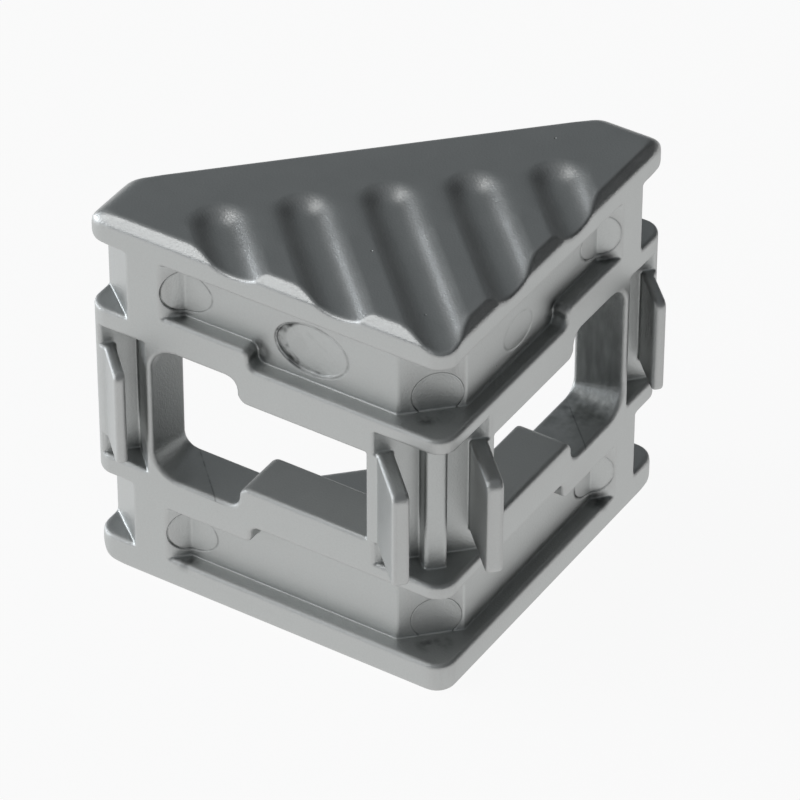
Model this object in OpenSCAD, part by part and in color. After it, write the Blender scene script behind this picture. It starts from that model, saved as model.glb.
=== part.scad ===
// Profile angle bracket, die cast in one piece.
// It joins two slotted profiles at a right angle. The corner edge of the two mounting faces is
// the Z axis, one leg runs along +X, the other along +Y, and the lower plate stands on Z = 0.

/* [Body] */
// Height over the two triangular plates
bracket_h = 38; // [36:0.5:60]
// Length of each leg from the corner edge
leg_len = 36.6; // [35:0.1:60]
// Thickness of the triangular plates
plate_t = 2.4; // [2:0.1:3]
// Height of the plates' rims along the mounting faces
rim_h = 3; // [3:0.1:4]
// Thickness of the flanges between the plates
flange_t = 5.4; // [5.2:0.1:7]
// How far the plates reach past the flanges at the leg ends
tail_w = 0.7; // [0.4:0.1:4]
// Wall left behind the flat that cuts the corner
corner_wall = 2.4; // [1.8:0.1:2.8]

/* [Rounding] */
// Plan radius of the corner edge
corner_r = 1.9; // [1.2:0.1:2.6]
// Plan radius of the leg ends beside the mounting faces
end_r = 2; // [1.1:0.1:2.4]
// Plan radius between the leg ends and the sloping back
tail_r = 4; // [1.2:0.1:4.2]
// Chamfer of the upper plate's top edge
top_edge_c = 0.85; // [0.3:0.05:1]
// Rounding of the lower plate's bottom edge
base_edge_r = 0.5; // [0.2:0.1:1]
// Rounding of both plates' outer edges at the leg ends
end_edge_r = 2.4; // [1:0.1:2.6]
// Rounding of the plates' edges along the open back, inside
lip_edge_r = 0.9; // [0.2:0.1:0.9]
// Fillet between the flanges, inside
inner_r = 2; // [0.5:0.1:2.4]

/* [Window] */
// Distance of the window from the corner edge
window_start = 8.05; // [7.9:0.05:10]
// Distance of the window's step from the corner edge
window_step = 21.1; // [17:0.1:22]
// Wall between the window and the leg end
window_end_wall = 6.5; // [6.2:0.1:7.5]
// Height of the narrow stretch of the window
slot_h = 9.2; // [8:0.1:9.6]
// Height of the wide stretch of the window
slot_wide_h = 14; // [12.6:0.1:14.6]
// Radius at the far end of the window, at the mounting face
window_end_r = 3.5; // [1.2:0.1:4]
// Radius at the far end of the window, inside
window_back_r = 1.2; // [0.4:0.1:1.2]
// Radius of the window's step
window_step_r = 1.1; // [0.3:0.1:1.2]

/* [Face bands] */
// Depth of the recesses above and below the middle band
recess_d = 1.6; // [0.8:0.1:2.2]
// Web between the narrow stretch of the window and the recesses
belt_near = 4.05; // [3.6:0.05:4.4]
// Web between the wide stretch of the window and the recesses
belt_far = 3.5; // [3:0.1:4]
// Height of the ribs that close the corner pocket
belt_corner = 1.55; // [1:0.05:2.2]
// How far the band steps before the window does
band_lead = 1.25; // [0:0.05:2]
// Radius of the band's step
band_step_r = 0.75; // [0.2:0.05:0.9]
// Distance from the leg end to the slanted end of the recesses
recess_end_gap = 7.8; // [7:0.1:9]
// Length of the notch across the leg end, along the leg
notch_len = 4.45; // [2:0.05:4.5]
// Depth of the notch at the leg end
notch_d = 3.6; // [1.5:0.1:4.5]
// How far the notch's ledge lies inside the edge of the band
notch_drop = 1.4; // [0:0.1:2]

/* [Lugs] */
// Height of the lugs, a sliding fit in the profile's slot
lug_h = 9.9; // [7:0.1:11]
// Thickness of the two lugs at the corner
corner_lug_t = 1.5; // [1:0.05:1.6]
// Clear width between the lugs at the corner
corner_lug_gap = 6.65; // [5:0.05:6.7]
// How far the corner lugs stand out past the corner edge
corner_lug_reach = 1.25; // [0:0.05:3]
// Thickness of the lugs at the leg ends
end_lug_t = 1.05; // [0.8:0.05:1.4]
// Distance from the leg end to the outer side of the lug
end_lug_inset = 1.85; // [1.6:0.05:2.2]
// How far the end lugs stand out of the mounting face, along the diagonal
end_lug_reach = 3.8; // [2:0.1:5]
// Radius at the tips of the lugs
lug_tip_r = 0.8; // [0.2:0.1:2]

/* [Pockets] */
// Width of the upright bar in the corner pocket
bar_w = 2; // [1:0.1:3]
// Distance of the bar's front behind the corner edge
bar_d = 3.3; // [2.5:0.1:4.2]
// Lip between the window and the pocket of the end lug
pocket_lip = 0.4; // [0.3:0.05:0.8]
// Depth of the end lug's pocket
end_pocket_d = 2.6; // [1.5:0.1:3]

/* [Grooves] */
// Number of grooves in the upper plate
groove_n = 5; // [1:2:5]
// Spacing of the grooves
groove_pitch = 7.4; // [6.8:0.1:8.6]
// Width of one groove
groove_w = 6.6; // [4:0.1:6.8]
// Depth of the grooves
groove_d = 1.15; // [0.5:0.05:1.4]
// Distance from the sloping back to where the grooves run out
groove_end_gap = 8.6; // [6:0.1:12]

/* [Hidden] */
// Overshoot of every cut past the face it leaves by
over = 2;
// Small overlap of joined solids
lap = 0.5;
// How far the arcs of a groove or of an end's edge pass the face, so that they meet it at an angle
arc_break = 0.06;
round_fn = 64;
hull_fn = 32;
diagonal = sqrt(2);

mid_z = bracket_h / 2;
rim_z = bracket_h - rim_h;
leg_end_w = flange_t + tail_w;
band_near_z = mid_z + slot_h / 2 + belt_near;
band_far_z = mid_z + slot_wide_h / 2 + belt_far;
band_step = window_step - band_lead;
window_end = leg_len - window_end_wall;
pocket_h = slot_h + 2 * (belt_near - belt_corner);
notch_z = band_far_z - notch_drop;
// Distances along the diagonal, from the corner edge
corner_flat = flange_t * diagonal - corner_wall;
back_face = (leg_len + leg_end_w) / diagonal;
// Distances across the diagonal, from the plane between the legs
corner_pocket_half = corner_lug_gap / 2 + corner_lug_t;
end_lug_side = (leg_len - end_lug_inset) / diagonal;
end_pocket_side = (window_end + pocket_lip) / diagonal;
// Again along the diagonal
end_pocket_back = end_pocket_side + end_pocket_d * diagonal;
end_lug_tip = end_lug_side - end_lug_t / 2 - end_lug_reach;

// Draws its children on the leg along X and again, mirrored, on the leg along Y.
module on_both_legs() {
    children();
    mirror([1, -1, 0]) children();
}

// Draws its children above and, mirrored, below the middle of the height.
module above_and_below() {
    children();
    translate([0, 0, bracket_h]) mirror([0, 0, 1]) children();
}

// Turns a profile drawn in X and Z into a solid that runs along Y.
module along_depth(from, to) {
    translate([0, to, 0])
        rotate([90, 0, 0])
            linear_extrude(to - from) children();
}

// What is cut from a square corner at the origin to round it.
module corner_waste(r) {
    difference() {
        translate([-over, -over]) square(r + over);
        translate([r, r]) circle(r, $fn = round_fn);
    }
}

// What a fillet leaves in an inside corner at the origin.
module fillet(r) {
    difference() {
        translate([-lap, -lap]) square(r + lap);
        translate([r, r]) circle(r, $fn = round_fn);
    }
}

// One ring of a plate post: a quarter round of radius edge at the post's rim.
module post_ring(r, edge) {
    rotate_extrude($fn = hull_fn)
        translate([r - edge, 0])
            intersection() {
                circle(edge, $fn = hull_fn);
                square(edge);
            }
}

// One post of a plate, with the outer edge on top, rounded or chamfered, and the rounded inner
// edge at Z = 0.
module plate_post(r, edge, chamfered) {
    translate([0, 0, plate_t - edge])
        if (chamfered) cylinder(edge, r, r - edge, $fn = hull_fn);
        else post_ring(r, edge);
    translate([0, 0, lip_edge_r]) mirror([0, 0, 1]) post_ring(r, lip_edge_r);
}

// A triangular plate with cut-off tips, standing on Z = 0 with its outer edge on top.
module plate(edge, chamfered) {
    end_x = leg_len - end_r;
    tail_x = leg_len - tail_r;
    tail_y = leg_end_w - tail_r * (diagonal - 1);
    hull() {
        translate([corner_r, corner_r, 0]) plate_post(corner_r, edge, chamfered);
        translate([end_x, end_r, 0]) plate_post(end_r, edge, chamfered);
        translate([end_r, end_x, 0]) plate_post(end_r, edge, chamfered);
        translate([tail_x, tail_y, 0]) plate_post(tail_r, edge, chamfered);
        translate([tail_y, tail_x, 0]) plate_post(tail_r, edge, chamfered);
    }
}

// Plan of the two flanges.
module flange_plan() {
    difference() {
        union() {
            square([leg_len, flange_t]);
            square([flange_t, leg_len]);
            translate([flange_t, flange_t]) fillet(inner_r);
        }
        corner_waste(corner_r);
        translate([leg_len, 0]) mirror([1, 0]) corner_waste(end_r);
        translate([0, leg_len]) mirror([0, 1]) corner_waste(end_r);
    }
}

// The plates and the flanges, before anything is cut.
module blank() {
    translate([0, 0, plate_t]) mirror([0, 0, 1]) plate(base_edge_r, false);
    translate([0, 0, bracket_h - plate_t]) plate(top_edge_c, true);
    translate([0, 0, base_edge_r])
        linear_extrude(bracket_h - base_edge_r - top_edge_c) flange_plan();
}

// The four corner circles of the window's wide stretch, with radius end_r at its far end.
module wide_corners(end_r) {
    wide_half = slot_wide_h / 2;
    for (side = [-1, 1]) {
        translate([window_step + window_step_r, mid_z + side * (wide_half - window_step_r)])
            circle(window_step_r, $fn = hull_fn);
        translate([window_end - end_r, mid_z + side * (wide_half - end_r)])
            circle(end_r, $fn = hull_fn);
    }
}

// What is cut from the end of the leg along X to round the upper plate's outer edge.
module end_edge_waste() {
    along_depth(-over, leg_end_w + over)
        translate([leg_len, bracket_h])
            difference() {
                translate([-end_edge_r, -end_edge_r]) square(end_edge_r + over);
                translate([-end_edge_r, -end_edge_r]) circle(end_edge_r + arc_break, $fn = round_fn);
            }
}

// Elevation of the narrow stretch of the window, up to the rounded edges of its step.
module narrow_stretch() {
    slot_half = slot_h / 2;
    translate([window_start, mid_z - slot_half])
        square([window_step - window_start + window_step_r, slot_h]);
    translate([window_step, mid_z + slot_half]) mirror([1, 0]) fillet(window_step_r);
    translate([window_step, mid_z - slot_half]) rotate(180) fillet(window_step_r);
}

// The window of the leg along X: a keyhole, wide towards the leg end, whose far corners
// tighten towards the inside.
module window() {
    along_depth(-over, flange_t + over) narrow_stretch();
    hull() {
        along_depth(-over, 0) wide_corners(window_end_r);
        along_depth(flange_t, flange_t + over) wide_corners(window_back_r);
    }
}

// Elevation of the upper recess, whose lower edge follows the window.
module recess_outline() {
    difference() {
        union() {
            translate([-over, band_near_z]) square([band_step + over, rim_z - band_near_z]);
            translate([band_step - lap, band_far_z]) square([leg_len, rim_z - band_far_z]);
            translate([band_step, band_far_z]) mirror([0, 1]) fillet(band_step_r);
        }
        translate([band_step, band_near_z]) mirror([1, 0]) fillet(band_step_r);
    }
}

// Plan of a recess, with the slanted end that the diagonal pull of the die leaves.
module recess_plan() {
    recess_end = leg_len - recess_end_gap;
    polygon([
        [-over, -over],
        [recess_end + over, -over],
        [recess_end - recess_d, recess_d],
        [-over, recess_d],
    ]);
}

// The recess above the band on the leg along X.
module recess() {
    intersection() {
        linear_extrude(bracket_h) recess_plan();
        along_depth(-over, flange_t) recess_outline();
    }
}

// The flat across the corner in the height of a recess.
module corner_cut() {
    reach = corner_flat * diagonal + over;
    translate([0, 0, band_near_z])
        linear_extrude(rim_z - band_near_z)
            polygon([[-over, -over], [reach, -over], [-over, reach]]);
}

// The slanted notch across the leg end, above the band.
module end_notch() {
    slope = notch_d / notch_len;
    translate([leg_len - notch_len, 0, notch_z])
        linear_extrude(rim_z - notch_z)
            polygon([
                [-over / slope, -over],
                [notch_len + over, -over],
                [notch_len + over, notch_d + over * slope],
            ]);
}

// Box in the frame of the diagonal: along, across and up, centred on the middle of the height.
module diagonal_box(along, across, h) {
    rotate([0, 0, 45])
        translate([along[0], across[0], mid_z - h / 2])
            cube([along[1] - along[0], across[1] - across[0], h]);
}

// A lug: a plate along the diagonal, with rounded tip corners.
module lug(tip, root, side, thickness) {
    r = lug_tip_r;
    rotate([0, 0, 45])
        translate([tip, side, mid_z - lug_h / 2])
            rotate([90, 0, 0])
                linear_extrude(thickness) {
                    translate([r, 0]) square([root - tip - r, lug_h]);
                    translate([0, r]) square([root - tip, lug_h - 2 * r]);
                    translate([r, r]) circle(r, $fn = round_fn);
                    translate([r, lug_h - r]) circle(r, $fn = round_fn);
                }
}

// The four lugs, and the bar between the two at the corner.
module lugs() {
    root = corner_flat + lap;
    lug(-corner_lug_reach, root, corner_pocket_half, corner_lug_t);
    lug(-corner_lug_reach, root, -corner_lug_gap / 2, corner_lug_t);
    diagonal_box([bar_d, root], [-bar_w / 2, bar_w / 2], pocket_h + 2 * lap);
    on_both_legs()
        lug(end_lug_tip, end_pocket_back + lap, end_lug_t - end_lug_side, end_lug_t);
}

// Section of one groove: a smooth wave that is hollow in the middle and crowned at its edges.
module groove_section() {
    quarter = groove_w / 4;
    half_h = (groove_d + arc_break) / 2;
    r = (quarter * quarter + half_h * half_h) / (2 * half_h);
    intersection() {
        translate([0, r - groove_d]) circle(r, $fn = round_fn);
        translate([-quarter, -groove_d - lap]) square([2 * quarter, groove_d + lap + over]);
    }
    for (side = [-1, 1])
        difference() {
            translate([side > 0 ? quarter : -2 * quarter, half_h - groove_d])
                square([quarter, groove_d - half_h + over]);
            translate([side * 2 * quarter, arc_break - r]) circle(r, $fn = round_fn);
        }
}

// One groove, from the front to its rounded end.
module groove(end) {
    translate([end, 0, bracket_h]) {
        rotate([90, 0, -90]) linear_extrude(end + over) groove_section();
        rotate_extrude($fn = round_fn)
            intersection() {
                groove_section();
                translate([0, -over]) square([groove_w, 2 * over]);
            }
    }
}

// The row of grooves in the upper plate.
module grooves() {
    rotate([0, 0, 45])
        for (i = [0 : groove_n - 1])
            translate([0, (i - (groove_n - 1) / 2) * groove_pitch, 0])
                groove(back_face - groove_end_gap);
}

module bracket() {
    color("#B4B6B5") {
        difference() {
            blank();
            on_both_legs() {
                window();
                above_and_below() {
                    recess();
                    end_notch();
                    end_edge_waste();
                }
                diagonal_box(
                    [end_lug_tip - over, end_pocket_back],
                    [-end_lug_side, -end_pocket_side],
                    slot_wide_h
                );
            }
            above_and_below() corner_cut();
            diagonal_box(
                [-over, corner_flat],
                [-corner_pocket_half, corner_pocket_half],
                pocket_h
            );
            grooves();
        }
        lugs();
    }
}

bracket();
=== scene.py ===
"""Profile angle bracket, die cast in aluminium: its cast skin, its finish, the studio and the camera.

Lengths are in millimetres where a name ends in _mm, and in metres everywhere else.
"""

import logging
import math
from dataclasses import dataclass, field
from enum import Enum
from typing import Any

import bmesh
import bpy
import numpy as np
from mathutils import Matrix, Vector


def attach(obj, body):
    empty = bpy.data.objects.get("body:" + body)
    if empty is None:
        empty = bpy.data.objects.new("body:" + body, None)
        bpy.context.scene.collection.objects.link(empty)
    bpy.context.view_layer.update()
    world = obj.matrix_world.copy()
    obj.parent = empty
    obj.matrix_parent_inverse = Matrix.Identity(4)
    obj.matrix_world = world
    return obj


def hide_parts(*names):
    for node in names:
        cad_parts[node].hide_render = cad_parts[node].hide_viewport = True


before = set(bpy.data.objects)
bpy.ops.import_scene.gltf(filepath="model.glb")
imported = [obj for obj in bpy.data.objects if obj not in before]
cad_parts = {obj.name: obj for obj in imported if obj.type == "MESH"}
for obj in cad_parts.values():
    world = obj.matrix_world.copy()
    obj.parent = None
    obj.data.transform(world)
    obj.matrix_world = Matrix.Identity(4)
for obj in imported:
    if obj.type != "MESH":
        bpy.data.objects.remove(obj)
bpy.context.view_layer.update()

MM = 0.001
PHOTO_PIXELS = 800
DIAGONAL = Vector((1.0, 1.0, 0.0)).normalized()
ACROSS = Vector((-1.0, 1.0, 0.0)).normalized()

log = logging.getLogger("bracket")


class MarkKind(Enum):
    """What left a round mark on the casting."""

    PIN = "the end of an ejector pin"
    INSERT = "a plain round insert in the die"


class Wear(Enum):
    """The mesh attributes that steer the finish."""

    EDGE = "worn_edge"
    RIM = "tumbled_rim"
    TRIM = "trimmed_wall"
    RESIDUE_AND_SHADE = "die_residue_and_painted_shade"


def linear(hex_colour: str) -> tuple[float, float, float, float]:
    """Turn an sRGB hex colour into linear RGBA.

    Args:
        hex_colour: Six hex digits, with or without a leading hash.

    Returns:
        Linear red, green and blue, and an alpha of 1.
    """
    digits = hex_colour.lstrip("#")
    channels = []
    for start in (0, 2, 4):
        value = int(digits[start : start + 2], 16) / 255.0
        if value <= 0.04045:
            channels.append(value / 12.92)
        else:
            channels.append(((value + 0.055) / 1.055) ** 2.4)
    return (channels[0], channels[1], channels[2], 1.0)


def direction(bearing_deg: float, elevation_deg: float) -> Vector:
    """Return the unit vector towards a bearing, counted from +X to +Y, and an elevation."""
    bearing = math.radians(bearing_deg)
    elevation = math.radians(elevation_deg)
    level = math.cos(elevation)
    return Vector((math.cos(bearing) * level, math.sin(bearing) * level, math.sin(elevation)))


def ramp(values: np.ndarray, low: float, high: float) -> np.ndarray:
    """Rise smoothly from 0 at low to 1 at high.

    Args:
        values: The values to map.
        low: Where the rise starts.
        high: Where it ends, which may be below low for a fall.

    Returns:
        The mapped values.
    """
    share = np.clip((values - low) / (high - low), 0.0, 1.0)
    return share * share * (3.0 - 2.0 * share)


def within(values: np.ndarray, stretch: tuple[float, float, float, float]) -> np.ndarray:
    """Rise smoothly from 0 to 1 and fall again.

    Args:
        values: The values to map.
        stretch: Where the rise starts and ends, and where the fall starts and ends.

    Returns:
        The mapped values.
    """
    return ramp(values, stretch[0], stretch[1]) * ramp(values, stretch[3], stretch[2])


def add_node(
    tree: bpy.types.NodeTree,
    kind: str,
    settings: dict[str, Any] | None = None,
    inputs: dict[str | int, Any] | None = None,
) -> bpy.types.Node:
    """Add one node to a tree, with its settings, values and links.

    Args:
        tree: The node tree that the node joins.
        kind: Blender's type name of the node.
        settings: Properties of the node itself.
        inputs: Values for its input sockets, or the output sockets to link there.

    Returns:
        The new node.
    """
    node = tree.nodes.new(kind)
    for name, value in (settings or {}).items():
        setattr(node, name, value)
    for key, value in (inputs or {}).items():
        if isinstance(value, bpy.types.NodeSocket):
            tree.links.new(value, node.inputs[key])
        else:
            node.inputs[key].default_value = value
    return node


def per_metre(size_mm: float) -> float:
    """Return the texture scale at which one feature of a pattern is size_mm wide."""
    return 1.0 / (size_mm * MM)


def noise(
    tree: bpy.types.NodeTree,
    place: bpy.types.NodeSocket,
    size_mm: float,
    detail: float = 2.0,
    roughness: float = 0.5,
) -> bpy.types.NodeSocket:
    """Add a noise pattern.

    Args:
        tree: The tree that the node joins.
        place: The place that the pattern is drawn from.
        size_mm: The width of one feature.
        detail: How many finer layers it has.
        roughness: How strong the finer layers are.

    Returns:
        The pattern's socket, from 0 to 1.
    """
    inputs = {"Vector": place, "Scale": per_metre(size_mm), "Detail": detail, "Roughness": roughness}
    return add_node(tree, "ShaderNodeTexNoise", inputs=inputs).outputs["Fac"]


def remap(
    tree: bpy.types.NodeTree,
    value: bpy.types.NodeSocket,
    source: tuple[float, float] = (0.0, 1.0),
    target: tuple[float, float] = (0.0, 1.0),
    smooth: bool = False,
) -> bpy.types.NodeSocket:
    """Map one range of values to another, held at its ends.

    Args:
        tree: The tree that the node joins.
        value: The value to map.
        source: The range that it comes from.
        target: The range that it goes to.
        smooth: Whether the ends are eased.

    Returns:
        The mapped value's socket.
    """
    settings = {"interpolation_type": "SMOOTHSTEP" if smooth else "LINEAR"}
    inputs = {
        "Value": value,
        "From Min": source[0],
        "From Max": source[1],
        "To Min": target[0],
        "To Max": target[1],
    }
    return add_node(tree, "ShaderNodeMapRange", settings, inputs).outputs["Result"]


def calculate(
    tree: bpy.types.NodeTree, operation: str, *values: bpy.types.NodeSocket | float
) -> bpy.types.NodeSocket:
    """Add one step of arithmetic.

    Args:
        tree: The tree that the node joins.
        operation: Blender's name of the operation.
        values: Its operands.

    Returns:
        The result's socket.
    """
    return add_node(tree, "ShaderNodeMath", {"operation": operation}, dict(enumerate(values))).outputs[0]


def blend(
    tree: bpy.types.NodeTree,
    share: bpy.types.NodeSocket | float,
    first: bpy.types.NodeSocket | float,
    second: bpy.types.NodeSocket | float,
) -> bpy.types.NodeSocket:
    """Mix two values.

    Args:
        tree: The tree that the node joins.
        share: The second value's share.
        first: The first value.
        second: The second value.

    Returns:
        The mix's socket.
    """
    return add_node(tree, "ShaderNodeMix", inputs={0: share, 2: first, 3: second}).outputs[0]


def blend_colours(
    tree: bpy.types.NodeTree,
    share: bpy.types.NodeSocket | float,
    first: bpy.types.NodeSocket | tuple[float, float, float, float],
    second: bpy.types.NodeSocket | tuple[float, float, float, float],
    mode: str = "MIX",
) -> bpy.types.NodeSocket:
    """Mix two colours.

    Args:
        tree: The tree that the node joins.
        share: The second colour's share.
        first: The first colour.
        second: The second colour.
        mode: Blender's name of the way they mix.

    Returns:
        The mix's socket.
    """
    settings = {"data_type": "RGBA", "blend_type": mode}
    return add_node(tree, "ShaderNodeMix", settings, {0: share, 6: first, 7: second}).outputs[2]


@dataclass(frozen=True)
class Patterns:
    """The sockets that steer the finish: the surface's place, its wear and its patterns."""

    place: bpy.types.NodeSocket
    edge: bpy.types.NodeSocket
    rim: bpy.types.NodeSocket
    trim: bpy.types.NodeSocket
    residue_and_shade: bpy.types.NodeSocket
    grain: bpy.types.NodeSocket
    cloud: bpy.types.NodeSocket
    streak: bpy.types.NodeSocket


@dataclass(frozen=True)
class CastAluminium:
    """Die-cast aluminium, tumbled to a satin.

    The tumbling leaves a soft grey metal with a fine grain. It brightens the edges, which take most
    of the knocks, dulls the thin ones and coarsens the rim. The pockets get a painted shade where an
    occlusion test finds them closed. The wall where the flash was trimmed off is smoother and
    streaked. Charred die lubricant stays dark in the thin seams that the die's pins leave, a dark
    line marks the parting line, and inside corners and the inserts' deep sides get a painted shade.
    """

    name: str = "satin_cast_aluminium"
    colour: str = "#BCBEBD"
    edge_colour: str = "#C5C6C5"
    pocket_shade_colour: str = "#3C3E3D"
    residue_and_shade_colour: str = "#2B2C2B"
    roughness: float = 0.46
    edge_roughness: float = 0.6
    rim_roughness: float = 0.45
    trim_roughness: float = 0.28
    roughness_wander: float = 0.1
    wander_grain_share: float = 0.4
    pocket_shade_reach_mm: float = 2.2
    pocket_shade_range: tuple[float, float] = (0.12, 0.5)
    pocket_shade_samples: int = 8
    grain_mm: float = 0.2
    grain_contrast: float = 0.16
    grain_base: float = 0.94
    cloud_mm: float = 3.0
    cloud_detail: float = 4.0
    cloud_contrast: float = 0.1
    cloud_base: float = 0.93
    pattern_roughness: float = 0.6
    blot_mm: float = 1.4
    blot_range: tuple[float, float] = (0.4, 0.6)
    blot_least: float = 0.15
    streak_mm: float = 0.9
    streak_stretch: float = 4.0
    streak_range: tuple[float, float] = (0.3, 0.7)
    smear_range: tuple[float, float] = (1.15, 0.6)
    pit_mm: float = 4.0
    pit_range: tuple[float, float] = (0.01, 0.035)
    pit_depth: float = 3.0
    grain_depth_mm: float = 0.022
    rim_grain_depth_mm: float = 0.027

    def material(self) -> bpy.types.Material:
        """Build the material.

        Returns:
            The finished material.
        """
        material = bpy.data.materials.new(self.name)
        material.use_nodes = True
        tree = material.node_tree
        tree.nodes.clear()
        patterns = self.patterns(tree)
        shader = add_node(
            tree,
            "ShaderNodeBsdfPrincipled",
            inputs={
                "Base Color": self.colours(tree, patterns),
                "Metallic": 1.0,
                "Roughness": self.roughnesses(tree, patterns),
                "Normal": self.relief(tree, patterns),
            },
        )
        add_node(tree, "ShaderNodeOutputMaterial", inputs={"Surface": shader.outputs["BSDF"]})
        return material

    def patterns(self, tree: bpy.types.NodeTree) -> Patterns:
        """Read the wear from the mesh and draw the patterns.

        Args:
            tree: The material's tree.

        Returns:
            The sockets of both.
        """
        place = add_node(tree, "ShaderNodeTexCoord").outputs["Object"]
        wear = {}
        for kind in Wear:
            node = add_node(tree, "ShaderNodeAttribute", {"attribute_name": kind.value})
            wear[kind] = node.outputs["Fac"]
        stretch = (1.0, 1.0, 1.0 / self.streak_stretch)
        upright = add_node(tree, "ShaderNodeMapping", inputs={"Vector": place, "Scale": stretch})
        streak = noise(tree, upright.outputs[0], self.streak_mm, detail=1.0)
        return Patterns(
            place=place,
            edge=wear[Wear.EDGE],
            rim=wear[Wear.RIM],
            trim=wear[Wear.TRIM],
            residue_and_shade=wear[Wear.RESIDUE_AND_SHADE],
            grain=noise(tree, place, self.grain_mm, roughness=self.pattern_roughness),
            cloud=noise(tree, place, self.cloud_mm, self.cloud_detail, self.pattern_roughness),
            streak=remap(tree, streak, self.streak_range),
        )

    def colours(self, tree: bpy.types.NodeTree, patterns: Patterns) -> bpy.types.NodeSocket:
        """Mix the metal's colour: grey, brighter on worn edges, painted shade in pockets, darker in
        streaks.

        Args:
            tree: The material's tree.
            patterns: The wear and the patterns.

        Returns:
            The colour's socket.
        """
        # Painted shade: where an occlusion test finds a pocket closed, the colour goes towards the
        # pocket shade colour.
        closed = add_node(
            tree,
            "ShaderNodeAmbientOcclusion",
            {"samples": self.pocket_shade_samples},
            {"Distance": self.pocket_shade_reach_mm * MM},
        ).outputs["AO"]
        unshaded_share = remap(tree, closed, self.pocket_shade_range, smooth=True)
        colour = blend_colours(tree, unshaded_share, linear(self.pocket_shade_colour), linear(self.colour))
        worn = calculate(tree, "MAXIMUM", patterns.edge, patterns.rim)
        colour = blend_colours(tree, worn, colour, linear(self.edge_colour))
        # Dark seams, the dark parting line, and painted shade in inside corners and on the inserts' deep
        # sides, broken up by blots.
        blots = noise(tree, patterns.place, self.blot_mm)
        blots = remap(tree, blots, self.blot_range, (self.blot_least, 1.0))
        darkening = calculate(tree, "MULTIPLY", patterns.residue_and_shade, blots)
        colour = blend_colours(tree, darkening, colour, linear(self.residue_and_shade_colour))
        shade = calculate(tree, "MULTIPLY_ADD", patterns.cloud, self.cloud_contrast, self.cloud_base)
        speck = calculate(tree, "MULTIPLY_ADD", patterns.grain, self.grain_contrast, self.grain_base)
        shade = calculate(tree, "MULTIPLY", shade, speck)
        smear = blend(tree, patterns.trim, 1.0, remap(tree, patterns.streak, target=self.smear_range))
        shade = calculate(tree, "MULTIPLY", shade, smear)
        return blend_colours(tree, 1.0, colour, shade, "MULTIPLY")

    def roughnesses(self, tree: bpy.types.NodeTree, patterns: Patterns) -> bpy.types.NodeSocket:
        """Mix the roughness: satin, duller on edges, smoother on the rim and streaked where trimmed.

        Args:
            tree: The material's tree.
            patterns: The wear and the patterns.

        Returns:
            The roughness socket.
        """
        base = blend(tree, patterns.edge, self.roughness, self.edge_roughness)
        base = blend(tree, patterns.rim, base, self.rim_roughness)
        smeared = blend(tree, patterns.streak, self.trim_roughness, self.roughness)
        trimmed = blend(tree, patterns.trim, base, smeared)
        mixed = blend(tree, self.wander_grain_share, patterns.cloud, patterns.grain)
        wander = remap(tree, mixed, target=(-self.roughness_wander, self.roughness_wander))
        return calculate(tree, "ADD", trimmed, wander)

    def relief(self, tree: bpy.types.NodeTree, patterns: Patterns) -> bpy.types.NodeSocket:
        """Raise the fine grain, which is coarser on the rim, and sink a few pits outside the windows.

        Args:
            tree: The material's tree.
            patterns: The wear and the patterns.

        Returns:
            The normal's socket.
        """
        cells = add_node(
            tree,
            "ShaderNodeTexVoronoi",
            inputs={"Vector": patterns.place, "Scale": per_metre(self.pit_mm)},
        ).outputs["Distance"]
        pits = remap(tree, cells, self.pit_range, (-self.pit_depth, 0.0), smooth=True)
        pits = blend(tree, patterns.trim, pits, 0.0)
        depth = blend(tree, patterns.rim, self.grain_depth_mm * MM, self.rim_grain_depth_mm * MM)
        height = calculate(tree, "ADD", patterns.grain, pits)
        return add_node(
            tree, "ShaderNodeBump", inputs={"Strength": 1.0, "Distance": depth, "Height": height}
        ).outputs["Normal"]


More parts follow.
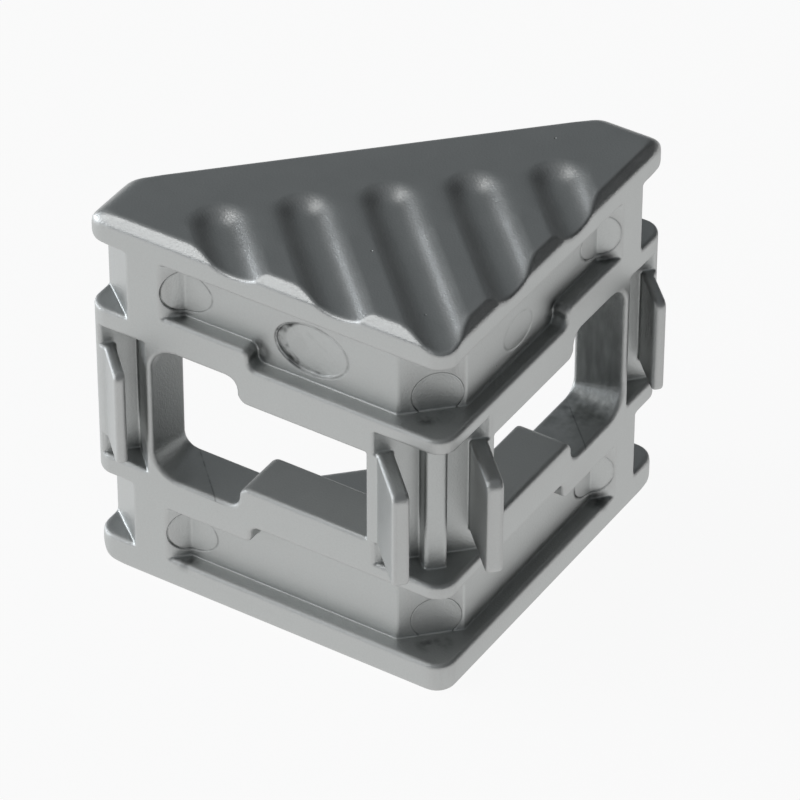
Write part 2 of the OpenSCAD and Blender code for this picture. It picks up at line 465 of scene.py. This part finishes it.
@dataclass(frozen=True)
class Mark:
    """A round mark that the die left, seen along the bracket's diagonal.

    Its seam is deepest on one side and darkest there. An insert also leans to that side, where it gets a
    painted shade.
    """

    kind: MarkKind
    along_mm: float
    across_mm: float
    height_mm: float
    radius_mm: float
    seam_depth_mm: float
    seam_half_mm: float
    deepest_deg: float
    sunk_mm: float
    residue_and_shade: float
    least_share: float = 0.4
    least_width: float = 0.6
    insert_shade_shift: float = 0.25
    insert_shade_range: tuple[float, float] = (0.88, 0.98)
    full_insert_shade_mm: float = 0.3
    seam_margin: float = 4.0
    floor_margin: float = 2.0

    def measure(self, places: np.ndarray) -> tuple[np.ndarray, np.ndarray, np.ndarray]:
        """Measure how points lie from the mark.

        Args:
            places: The points, one to a row.

        Returns:
            The distance from the mark's axis, the distance along it, and the angle round it, seen
            from the front and counted from the right.
        """
        across = self.across_mm - places @ np.array(ACROSS)
        height = places[:, 2] - self.height_mm
        depth = places @ np.array(DIAGONAL) - self.along_mm
        return np.hypot(across, height), depth, np.arctan2(height, across)

    def touched(self, distance: np.ndarray) -> np.ndarray:
        """Tell which points need a finer mesh: those at the seam, and all of an insert's.

        Args:
            distance: The points' distances from the mark's axis.

        Returns:
            True or false for each point.
        """
        margin = self.seam_margin * self.seam_half_mm
        inner = self.radius_mm - margin if self.kind is MarkKind.PIN else 0.0
        return (distance < self.radius_mm + margin) & (distance > inner)

    def press(self, distance: np.ndarray, angle: np.ndarray) -> tuple[np.ndarray, np.ndarray]:
        """Work out how deep the mark is pressed, and how dark its seam is and, on an insert, its painted
        shade.

        Args:
            distance: The points' distances from the mark's axis.
            angle: Their angles round it.

        Returns:
            The depth in millimetres, and the darkness of the seam and the painted shade, from 0 to 1.
        """
        lean = np.cos(angle - math.radians(self.deepest_deg))
        share = self.least_share + (1.0 - self.least_share) * np.clip(lean, 0.0, 1.0)
        half = self.seam_half_mm * (self.least_width + (1.0 - self.least_width) * share)
        seam = share * np.exp(-(((distance - self.radius_mm) / half) ** 2))
        floor = ramp(distance, self.radius_mm, self.radius_mm - self.floor_margin * self.seam_half_mm)
        darkening = seam
        if self.kind is MarkKind.INSERT:
            # An insert's deep side gets a painted shade, darkest near its wall.
            shift = self.insert_shade_shift * self.radius_mm
            from_floor = np.sqrt(distance**2 + shift**2 + 2.0 * distance * shift * lean)
            low, high = self.insert_shade_range
            deep_side_shade = ramp(from_floor, low * self.radius_mm, high * self.radius_mm) * floor
            darkening = np.maximum(seam, deep_side_shade * min(1.0, self.sunk_mm / self.full_insert_shade_mm))
            floor = floor * np.clip(0.5 + 0.5 * lean * distance / self.radius_mm, 0.0, 1.0)
        return self.seam_depth_mm * seam + self.sunk_mm * floor, self.residue_and_shade * darkening


@dataclass(frozen=True)
class CornerShade:
    """Painted shade in an inside corner, the same on both legs."""

    along_mm: float
    depth_mm: float
    height_mm: float
    radius_mm: float
    strength: float
    core_share: float = 0.2

    def darkness(self, places: np.ndarray) -> np.ndarray:
        """Tell how dark the painted shade makes points.

        Args:
            places: The points, one to a row.

        Returns:
            One value to a point, from 0 to 1.
        """
        found = np.zeros(len(places))
        for spot in ((self.along_mm, self.depth_mm), (self.depth_mm, self.along_mm)):
            away = np.linalg.norm(places - np.array((*spot, self.height_mm)), axis=1)
            found = np.maximum(found, ramp(away, self.radius_mm, self.core_share * self.radius_mm))
        return self.strength * found


@dataclass(frozen=True)
class PartingLine:
    """The dark line across each window's floor, where two slides of the die met."""

    across_mm: float = 16.6
    half_mm: float = 0.07
    floor_mm: float = 12.0
    floor_reach_mm: float = 0.3
    depth_range_mm: tuple[float, float] = (-0.1, 5.5)
    strength: float = 0.5

    def darkness(self, places: np.ndarray) -> np.ndarray:
        """Tell how dark the line makes points.

        Args:
            places: The points, one to a row.

        Returns:
            One value to a point, from 0 to 1.
        """
        from_line = np.abs(places @ np.array(ACROSS)) - self.across_mm
        line = np.exp(-((from_line / self.half_mm) ** 2))
        depth = places[:, :2].min(1)
        low, high = self.depth_range_mm
        on_floor = np.abs(places[:, 2] - self.floor_mm) < self.floor_reach_mm
        return np.where(on_floor & (depth > low) & (depth < high), self.strength * line, 0.0)


@dataclass
class Casting:
    """The bracket's cast skin: the CAD form with the soft edges and marks of a casting."""

    node: str = "bracket"
    body: str = "root"
    piece: str = "bracket_casting"
    voxel_mm: float = 0.1
    band_margin: int = 2
    edge_mm: float = 0.26
    triangles: int = 185000
    kept_darkening: float = 0.01
    weight_levels: int = 10
    rim_z_mm: float = 35.4
    rim_width_mm: float = 1.6
    rim_fade_mm: float = 1.0
    rim_passes: int = 8
    end_reach_mm: float = 3.0
    plate_margin_mm: float = 0.5
    end_passes: int = 90
    runout_gap_mm: float = 8.6
    runout_mm: tuple[float, float, float, float] = (-5.0, -3.5, 1.2, 2.2)
    runout_inset_mm: tuple[float, float] = (2.6, 3.4)
    runout_below_mm: tuple[float, float] = (2.4, 1.8)
    runout_passes: int = 160
    mark_reach_mm: float = 2.9
    mark_facing: float = 0.25
    worn_bend: tuple[float, float] = (0.1, 0.9)
    bend_passes: int = 6
    least_step_mm2: float = 1e-9
    top_below_mm: tuple[float, float] = (2.3, 1.7)
    rim_tilt: tuple[float, float, float, float] = (0.3, 0.5, 0.88, 0.97)
    trim_depth_mm: tuple[float, float, float, float] = (0.3, 0.8, 4.8, 5.3)
    trim_along_mm: tuple[float, float, float, float] = (24.0, 27.0, 30.4, 31.0)
    trim_height_mm: tuple[float, float, float, float] = (11.4, 11.8, 26.2, 26.6)
    parting_line: PartingLine = field(default_factory=PartingLine)
    finish: CastAluminium = field(default_factory=CastAluminium)

    def skin_tree(self) -> bpy.types.NodeTree:
        """Build the nodes that round the form's outside edges, by shrinking and growing it again.

        Returns:
            A geometry node tree that works in millimetres.
        """
        tree = bpy.data.node_groups.new("cast_skin", "GeometryNodeTree")
        tree.interface.new_socket("Geometry", in_out="INPUT", socket_type="NodeSocketGeometry")
        tree.interface.new_socket("Geometry", in_out="OUTPUT", socket_type="NodeSocketGeometry")
        mesh = add_node(tree, "NodeGroupInput").outputs["Geometry"]
        for offset in (-self.edge_mm, self.edge_mm):
            grid = add_node(
                tree,
                "GeometryNodeMeshToSDFGrid",
                inputs={
                    "Mesh": mesh,
                    "Voxel Size": self.voxel_mm,
                    "Band Width": math.ceil(abs(offset) / self.voxel_mm) + self.band_margin,
                },
            )
            surface = add_node(
                tree,
                "GeometryNodeGridToMesh",
                inputs={"Grid": grid.outputs["SDF Grid"], "Threshold": offset, "Adaptivity": 0.0},
            )
            mesh = surface.outputs["Mesh"]
        add_node(tree, "NodeGroupOutput", inputs={"Geometry": mesh})
        return tree

    def marks(self) -> list[Mark]:
        """List the casting's round marks: ejector pins, and a plain insert in each upper recess.

        Returns:
            The marks.
        """
        found = []
        for side in (-1, 1):
            for height in (32.1, 5.8):
                end_pin = Mark(
                    kind=MarkKind.PIN,
                    along_mm=20.0,
                    across_mm=side * 18.2,
                    height_mm=height,
                    radius_mm=2.06,
                    seam_depth_mm=0.14,
                    seam_half_mm=0.08,
                    deepest_deg=215.0,
                    sunk_mm=0.04,
                    residue_and_shade=0.95,
                )
                found.append(end_pin)
        for height in (29.2, 4.7):
            corner_pin = Mark(
                kind=MarkKind.PIN,
                along_mm=5.2,
                across_mm=-0.5,
                height_mm=height,
                radius_mm=2.25,
                seam_depth_mm=0.1,
                seam_half_mm=0.07,
                deepest_deg=270.0,
                sunk_mm=0.03,
                residue_and_shade=0.95,
            )
            found.append(corner_pin)
        left_insert = Mark(
            kind=MarkKind.INSERT,
            along_mm=11.3,
            across_mm=9.0,
            height_mm=30.9,
            radius_mm=2.55,
            seam_depth_mm=0.18,
            seam_half_mm=0.12,
            deepest_deg=200.0,
            sunk_mm=0.5,
            residue_and_shade=0.9,
        )
        right_insert = Mark(
            kind=MarkKind.INSERT,
            along_mm=11.1,
            across_mm=-8.86,
            height_mm=30.3,
            radius_mm=1.6,
            seam_depth_mm=0.07,
            seam_half_mm=0.11,
            deepest_deg=250.0,
            sunk_mm=0.06,
            residue_and_shade=0.35,
        )
        return found + [left_insert, right_insert]

    def corner_shades(self) -> list[CornerShade]:
        """List the painted shades in inside corners: at the recesses' ends and steps, at the corner's
        foot and beside the lugs.

        Returns:
            The stains.
        """
        return [
            CornerShade(along_mm=27.9, depth_mm=1.2, height_mm=29.5, radius_mm=1.4, strength=0.7),
            CornerShade(along_mm=19.6, depth_mm=1.3, height_mm=28.9, radius_mm=1.5, strength=0.75),
            CornerShade(along_mm=27.2, depth_mm=0.9, height_mm=3.1, radius_mm=1.5, strength=0.7),
            CornerShade(along_mm=3.4, depth_mm=2.4, height_mm=27.7, radius_mm=1.3, strength=0.6),
            CornerShade(along_mm=3.2, depth_mm=2.2, height_mm=3.1, radius_mm=1.3, strength=0.6),
            CornerShade(along_mm=33.6, depth_mm=0.9, height_mm=24.4, radius_mm=1.3, strength=0.6),
            CornerShade(along_mm=31.6, depth_mm=1.0, height_mm=13.8, radius_mm=1.2, strength=0.6),
        ]

    def build(self) -> bpy.types.Object:
        """Make the casting's mesh from the CAD node and set it in the frame.

        Returns:
            The casting, riding on its body.
        """
        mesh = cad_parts[self.node].data.copy()
        mesh.transform(Matrix.Scale(1.0 / MM, 4))
        mesh.materials.clear()
        casting = bpy.data.objects.new(self.piece, mesh)
        bpy.context.scene.collection.objects.link(casting)
        skin = casting.modifiers.new("skin", "NODES")
        skin.node_group = self.skin_tree()
        self.apply_modifiers(casting)
        self.soften_edges(casting)
        self.press_marks(casting)
        self.note_wear(casting.data)
        self.thin_out(casting)
        casting.data.transform(Matrix.Scale(MM, 4))
        casting.data.shade_smooth()
        casting.modifiers.new("normals", "WEIGHTED_NORMAL")
        casting.data.materials.clear()
        casting.data.materials.append(self.finish.material())
        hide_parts(self.node)
        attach(casting, self.body)
        return casting

    def soften_edges(self, casting: bpy.types.Object) -> None:
        """Round what the tumbling rounds most: the upper rim, the plates' ends and the grooves' ends.

        Args:
            casting: The casting, in millimetres.
        """
        x, y, z = self.places(casting.data).T
        top = np.clip(z - self.rim_z_mm, 0.0, 1.0)
        near = np.clip(self.rim_width_mm + self.rim_fade_mm - np.minimum(x, y), 0.0, 1.0)
        self.soften(casting, "rim", top * near, self.rim_passes)
        x, y, z = self.places(casting.data).T
        reach = np.maximum(x, y).max()
        height = z.max()
        end = np.clip(np.maximum(x, y) - reach + self.end_reach_mm, 0.0, 1.0)
        plate = np.abs(z - height / 2) - height / 2 + self.end_reach_mm + self.plate_margin_mm
        self.soften(casting, "ends", end * np.clip(plate, 0.0, 1.0), self.end_passes)
        x, y, z = self.places(casting.data).T
        back = (x + y) / math.sqrt(2.0)
        tip = back.max() - self.runout_gap_mm
        runout = within(back - tip, self.runout_mm)
        low, high = self.runout_below_mm
        inside = ramp(np.minimum(x, y), *self.runout_inset_mm) * ramp(z, height - low, height - high)
        self.soften(casting, "runouts", runout * inside, self.runout_passes)

    def soften(self, casting: bpy.types.Object, name: str, weights: np.ndarray, passes: int) -> None:
        """Smooth part of the skin.

        Args:
            casting: The casting, in millimetres.
            name: The name of the part.
            weights: How far each point takes part, from 0 to 1.
            passes: How often the skin is smoothed.
        """
        group = casting.vertex_groups.new(name=name)
        for step in range(1, self.weight_levels + 1):
            level = step / self.weight_levels
            chosen = np.nonzero(np.abs(weights - level) < 0.5 / self.weight_levels)[0]
            group.add(chosen.tolist(), level, "REPLACE")
        smooth = casting.modifiers.new(name, "SMOOTH")
        smooth.factor = 0.5
        smooth.iterations = passes
        smooth.vertex_group = name
        self.apply_modifiers(casting)
        casting.vertex_groups.clear()

    def press_marks(self, casting: bpy.types.Object) -> None:
        """Refine the skin where the die left its marks, press them in and store their dark seams and the
        painted shade.

        Args:
            casting: The casting, in millimetres.
        """
        self.refine_marks(casting.data)
        places = self.places(casting.data)
        facing = -(self.normals(casting.data) @ np.array(DIAGONAL))
        moved = np.zeros(len(places))
        # Darkness to store: the dark parting line, painted shade in inside corners, and the marks' dark
        # seams and painted shade.
        residue_and_shade = self.parting_line.darkness(places)
        for corner_shade in self.corner_shades():
            residue_and_shade = np.maximum(residue_and_shade, corner_shade.darkness(places))
        for mark in self.marks():
            distance, depth, angle = mark.measure(places)
            near = (np.abs(depth) < self.mark_reach_mm) & (facing > self.mark_facing)
            pressed, darkening = mark.press(distance, angle)
            moved += np.where(near, pressed, 0.0)
            residue_and_shade = np.maximum(residue_and_shade, np.where(near, darkening, 0.0))
        places = places + np.outer(moved, np.array(DIAGONAL))
        casting.data.vertices.foreach_set("co", places.astype(np.float32).ravel())
        casting.data.update()
        self.store(casting.data, Wear.RESIDUE_AND_SHADE, np.clip(residue_and_shade, 0.0, 1.0))

    def refine_marks(self, mesh: bpy.types.Mesh) -> None:
        """Split the edges that the marks touch.

        Args:
            mesh: The casting's mesh, in millimetres.
        """
        places = self.places(mesh)
        editor = bmesh.new()
        editor.from_mesh(mesh)
        editor.verts.ensure_lookup_table()
        edges = set()
        for mark in self.marks():
            distance, depth, _ = mark.measure(places)
            touched = mark.touched(distance) & (np.abs(depth) < self.mark_reach_mm)
            for index in np.nonzero(touched)[0]:
                edges.update(editor.verts[index].link_edges)
        bmesh.ops.subdivide_edges(editor, edges=list(edges), cuts=1, use_grid_fill=True)
        editor.to_mesh(mesh)
        editor.free()

    def note_wear(self, mesh: bpy.types.Mesh) -> None:
        """Store how worn the edges and the upper rim are, and where a window was trimmed.

        Args:
            mesh: The casting's mesh, in millimetres.
        """
        x, y, z = self.places(mesh).T
        low, high = self.top_below_mm
        topside = ramp(z, z.max() - low, z.max() - high)
        rim = topside * within(self.normals(mesh)[:, 2], self.rim_tilt)
        depth = within(np.minimum(x, y), self.trim_depth_mm)
        along = within(np.maximum(x, y), self.trim_along_mm)
        trimmed = depth * along * within(z, self.trim_height_mm)
        worn = ramp(self.bends(mesh), *self.worn_bend)
        self.store(mesh, Wear.EDGE, worn * (1.0 - rim))
        self.store(mesh, Wear.RIM, rim)
        self.store(mesh, Wear.TRIM, np.where(x > y, trimmed, 0.0))

    def bends(self, mesh: bpy.types.Mesh) -> np.ndarray:
        """Measure how sharply the skin bends outwards, evened out over its neighbours.

        Args:
            mesh: The casting's mesh, in millimetres.

        Returns:
            One curvature to a point, per millimetre.
        """
        places = self.places(mesh)
        normals = self.normals(mesh)
        count = len(places)
        ends = np.empty(len(mesh.edges) * 2, np.int32)
        mesh.edges.foreach_get("vertices", ends)
        first, second = ends.reshape(-1, 2).T
        step = places[second] - places[first]
        square = np.maximum((step * step).sum(1), self.least_step_mm2)
        bend = np.bincount(first, (step * normals[first]).sum(1) / square, count)
        bend += np.bincount(second, -(step * normals[second]).sum(1) / square, count)
        valence = np.bincount(first, minlength=count) + np.bincount(second, minlength=count)
        neighbours = np.maximum(valence, 1)
        bend = -2.0 * bend / neighbours
        for _ in range(self.bend_passes):
            spread = np.bincount(first, bend[second], count) + np.bincount(second, bend[first], count)
            bend = 0.5 * bend + 0.5 * spread / neighbours
        return bend

    def thin_out(self, casting: bpy.types.Object) -> None:
        """Thin the skin to its number of triangles, but keep the points that carry dark seams and
        painted shade.

        Args:
            casting: The casting, in millimetres.
        """
        faces = sum(len(polygon.vertices) - 2 for polygon in casting.data.polygons)
        log.info("skin has %d triangles", faces)
        residue_and_shade = np.empty(len(casting.data.vertices), np.float32)
        casting.data.attributes[Wear.RESIDUE_AND_SHADE.value].data.foreach_get("value", residue_and_shade)
        plain = casting.vertex_groups.new(name="plain")
        plain.add(np.nonzero(residue_and_shade < self.kept_darkening)[0].tolist(), 1.0, "REPLACE")
        thinner = casting.modifiers.new("thinner", "DECIMATE")
        thinner.ratio = min(1.0, self.triangles / faces)
        thinner.vertex_group = plain.name
        self.apply_modifiers(casting)
        casting.vertex_groups.clear()

    def store(self, mesh: bpy.types.Mesh, wear: Wear, values: np.ndarray) -> None:
        """Store one value to a point as a mesh attribute.

        Args:
            mesh: The mesh.
            wear: What the values say.
            values: The values, from 0 to 1.
        """
        attribute = mesh.attributes.new(wear.value, "FLOAT", "POINT")
        attribute.data.foreach_set("value", values.astype(np.float32))

    def places(self, mesh: bpy.types.Mesh) -> np.ndarray:
        """Return a mesh's points, one to a row."""
        values = np.empty(len(mesh.vertices) * 3, np.float32)
        mesh.vertices.foreach_get("co", values)
        return values.reshape(-1, 3).astype(float)

    def normals(self, mesh: bpy.types.Mesh) -> np.ndarray:
        """Return a mesh's point normals, one to a row."""
        values = np.empty(len(mesh.vertices) * 3, np.float32)
        mesh.vertices.foreach_get("normal", values)
        return values.reshape(-1, 3).astype(float)

    def apply_modifiers(self, piece: bpy.types.Object) -> None:
        """Turn a piece's modifiers into its mesh.

        Args:
            piece: The object whose modifiers are applied.
        """
        graph = bpy.context.evaluated_depsgraph_get()
        mesh = bpy.data.meshes.new_from_object(piece.evaluated_get(graph))
        piece.modifiers.clear()
        piece.data = mesh


@dataclass(frozen=True)
class SoftLamp:
    """A soft lamp that faces the object, with its brightness as seen in a mirror."""

    name: str
    bearing_deg: float
    elevation_deg: float
    distance: float
    width: float
    height: float
    glow: float
    colour: str

    def hang(self) -> None:
        """Add the lamp to the scene."""
        towards = direction(self.bearing_deg, self.elevation_deg)
        light = bpy.data.lights.new(self.name, "AREA")
        light.shape = "RECTANGLE"
        light.size = self.width
        light.size_y = self.height
        light.color = linear(self.colour)[:3]
        light.energy = self.glow * math.pi * self.width * self.height
        lamp = bpy.data.objects.new(self.name, light)
        lamp.location = towards * self.distance
        lamp.rotation_euler = towards.to_track_quat("Z", "Y").to_euler()
        bpy.context.scene.collection.objects.link(lamp)


@dataclass
class Studio:
    """A white floor under a dim dome, darker on the right, with two soft lamps on the left."""

    floor_size: float = 6.0
    floor_drop: float = 0.00002
    paper: str = "#F4F4F4"
    glow_share: float = 0.93
    dome_colour: str = "#F5FBFF"
    dome_glow: float = 0.215
    dark_glow: float = 0.04
    dark_bearing_deg: float = 315.0
    dark_range: tuple[float, float] = (0.2, 0.85)
    lamps: tuple[SoftLamp, ...] = (
        SoftLamp(
            name="low_softbox",
            bearing_deg=105.0,
            elevation_deg=8.0,
            distance=2.0,
            width=1.66,
            height=0.53,
            glow=6.9,
            colour="#F5FAFF",
        ),
        SoftLamp(
            name="high_softbox",
            bearing_deg=135.0,
            elevation_deg=46.0,
            distance=2.0,
            width=1.15,
            height=1.07,
            glow=2.0,
            colour="#FFFFFF",
        ),
    )

    def build(self) -> None:
        """Make the floor, the world and the lamps."""
        self.floor()
        self.world()
        for lamp in self.lamps:
            lamp.hang()

    def floor(self) -> None:
        """Make the floor, which stays white around the object and keeps its shadow."""
        half = self.floor_size / 2
        mesh = bpy.data.meshes.new("floor")
        corners = [(-half, -half, 0.0), (half, -half, 0.0), (half, half, 0.0), (-half, half, 0.0)]
        mesh.from_pydata(corners, [], [(0, 1, 2, 3)])
        floor = bpy.data.objects.new("floor", mesh)
        floor.location.z = -self.floor_drop
        bpy.context.scene.collection.objects.link(floor)
        material = bpy.data.materials.new("white_paper")
        material.use_nodes = True
        tree = material.node_tree
        tree.nodes.clear()
        paper = add_node(tree, "ShaderNodeBsdfDiffuse", inputs={"Color": linear(self.paper)})
        glow = add_node(tree, "ShaderNodeEmission", inputs={"Color": (1, 1, 1, 1), "Strength": 1.0})
        path = add_node(tree, "ShaderNodeLightPath")
        seen = path.outputs["Is Camera Ray"]
        for ray in ("Is Glossy Ray", "Is Transmission Ray"):
            seen = calculate(tree, "MAXIMUM", seen, path.outputs[ray])
        share = calculate(tree, "MULTIPLY", seen, self.glow_share)
        mix = add_node(
            tree, "ShaderNodeMixShader", inputs={0: share, 1: paper.outputs[0], 2: glow.outputs[0]}
        )
        add_node(tree, "ShaderNodeOutputMaterial", inputs={"Surface": mix.outputs[0]})
        mesh.materials.append(material)

    def world(self) -> None:
        """Make the world, a dome that falls off towards its dark side."""
        world = bpy.data.worlds.new("studio")
        world.use_nodes = True
        tree = world.node_tree
        tree.nodes.clear()
        place = add_node(tree, "ShaderNodeTexCoord").outputs["Generated"]
        towards = add_node(
            tree,
            "ShaderNodeVectorMath",
            {"operation": "DOT_PRODUCT"},
            {0: place, 1: direction(self.dark_bearing_deg, 0.0)},
        ).outputs["Value"]
        level = remap(tree, towards, self.dark_range, (self.dome_glow, self.dark_glow), smooth=True)
        dome = add_node(
            tree, "ShaderNodeBackground", inputs={"Color": linear(self.dome_colour), "Strength": level}
        )
        add_node(tree, "ShaderNodeOutputWorld", inputs={"Surface": dome.outputs[0]})
        bpy.context.scene.world = world


@dataclass
class PhotoCamera:
    """The camera at the photograph's place, which looks along its bearing and down."""

    target_mm: Vector = field(default_factory=lambda: Vector((9.978, 9.978, 17.461)))
    distance_mm: float = 486.07
    bearing_deg: float = 32.136
    elevation_deg: float = 38.251
    roll_deg: float = 0.185
    focal_px: float = 5621.985
    shift_px: tuple[float, float] = (-8.309, 41.424)
    sensor_width: float = 36.0
    clip_range: tuple[float, float] = (0.01, 20.0)

    def build(self) -> None:
        """Make the camera and set it as the scene's."""
        ahead = direction(self.bearing_deg, self.elevation_deg)
        back = Vector((-ahead.x, -ahead.y, ahead.z))
        data = bpy.data.cameras.new("photo_camera")
        data.sensor_width = self.sensor_width
        data.lens = self.sensor_width * self.focal_px / PHOTO_PIXELS
        data.shift_x = self.shift_px[0] / PHOTO_PIXELS
        data.shift_y = self.shift_px[1] / PHOTO_PIXELS
        data.clip_start, data.clip_end = self.clip_range
        camera = bpy.data.objects.new("photo_camera", data)
        turn = back.to_track_quat("Z", "Y").to_matrix().to_4x4()
        roll = Matrix.Rotation(math.radians(self.roll_deg), 4, "Z")
        place = Matrix.Translation(self.target_mm * MM + back * self.distance_mm * MM)
        camera.matrix_world = place @ turn @ roll
        bpy.context.scene.collection.objects.link(camera)
        bpy.context.scene.camera = camera


def main() -> None:
    """Build the camera, the studio and the bracket."""
    logging.basicConfig(level=logging.INFO, format="%(name)s: %(message)s")
    bpy.context.scene.view_settings.view_transform = "Standard"
    PhotoCamera().build()
    Studio().build()
    casting = Casting().build()
    log.info("%s: %d faces", casting.name, len(casting.data.polygons))


if __name__ == "__main__":
    main()
